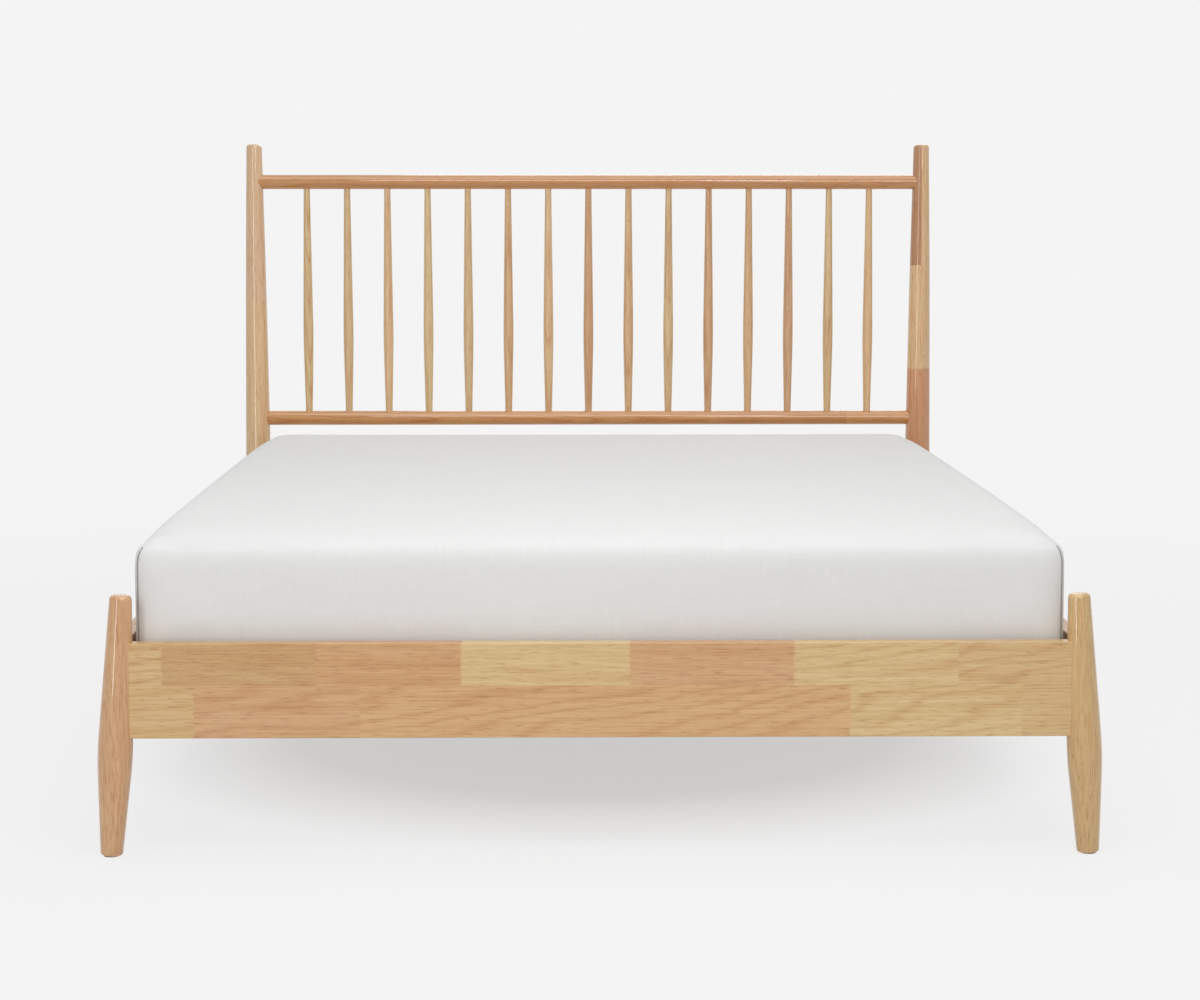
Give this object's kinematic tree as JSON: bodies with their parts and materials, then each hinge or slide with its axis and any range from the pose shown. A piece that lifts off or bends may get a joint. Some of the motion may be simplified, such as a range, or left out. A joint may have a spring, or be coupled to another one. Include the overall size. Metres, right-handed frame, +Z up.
{
  "type": "bed",
  "caption": "Queen-size bed with a spindle headboard between turned posts, plank rails, a slatted base with a centre beam and leg, and a padded mattress",
  "frame": {"origin": "on the floor, in the middle of the bed's outline seen from above", "axes": "+X across the bed to the right as seen from its foot, +Y from the foot to the headboard, +Z up"},
  "size_m": [1.6606, 2.1309, 1.212],
  "materials": {
    "turned_wood": "satin",
    "board_wood": "satin",
    "slat_wood": "matte",
    "fitting_steel": "satin",
    "glide_steel": "satin",
    "pad_felt": "matte",
    "mattress_cover": "matte"
  },
  "bodies": {
    "frame": {"beam_saddle_foot": "fitting_steel", "beam_saddle_head": "fitting_steel", "centre_beam": "slat_wood", "centre_leg": "slat_wood", "centre_leg_bolt": "fitting_steel", "floor_pads": "pad_felt", "foot_post_left": "turned_wood", "foot_post_right": "turned_wood", "foot_rail": "board_wood", "head_post_left": "turned_wood", "head_post_right": "turned_wood", "head_rail": "board_wood", "headboard_lower_bar": "turned_wood", "headboard_top_bar": "turned_wood", "post_slot_plates": "fitting_steel", "rail_hook_plates": "fitting_steel", "side_rail_left": "board_wood", "side_rail_right": "board_wood", "slat_01": "slat_wood", "slat_02": "slat_wood", "slat_03": "slat_wood", "slat_04": "slat_wood", "slat_05": "slat_wood", "slat_06": "slat_wood", "slat_07": "slat_wood", "slat_08": "slat_wood", "slat_09": "slat_wood", "slat_10": "slat_wood", "slat_11": "slat_wood", "slat_12": "slat_wood", "slat_13": "slat_wood", "slat_14": "slat_wood", "slat_ledge_left": "slat_wood", "slat_ledge_right": "slat_wood", "spindle_01": "turned_wood", "spindle_02": "turned_wood", "spindle_03": "turned_wood", "spindle_04": "turned_wood", "spindle_05": "turned_wood", "spindle_06": "turned_wood", "spindle_07": "turned_wood", "spindle_08": "turned_wood", "spindle_09": "turned_wood", "spindle_10": "turned_wood", "spindle_11": "turned_wood", "spindle_12": "turned_wood", "spindle_13": "turned_wood", "spindle_14": "turned_wood", "spindle_15": "turned_wood"},
    "glide": {"levelling_glide": "glide_steel"},
    "mattress": {"mattress": "mattress_cover"}
  },
  "joints": [
    {"name": "mattress_lift", "type": "slide", "parent": "frame", "child": "mattress", "axis": [0, 0, 1], "range_m": [0, 0.28]},
    {"name": "glide_screw", "type": "slide", "parent": "frame", "child": "glide", "axis": [0, 0, -1], "range_m": [0, 0.01]}
  ]
}
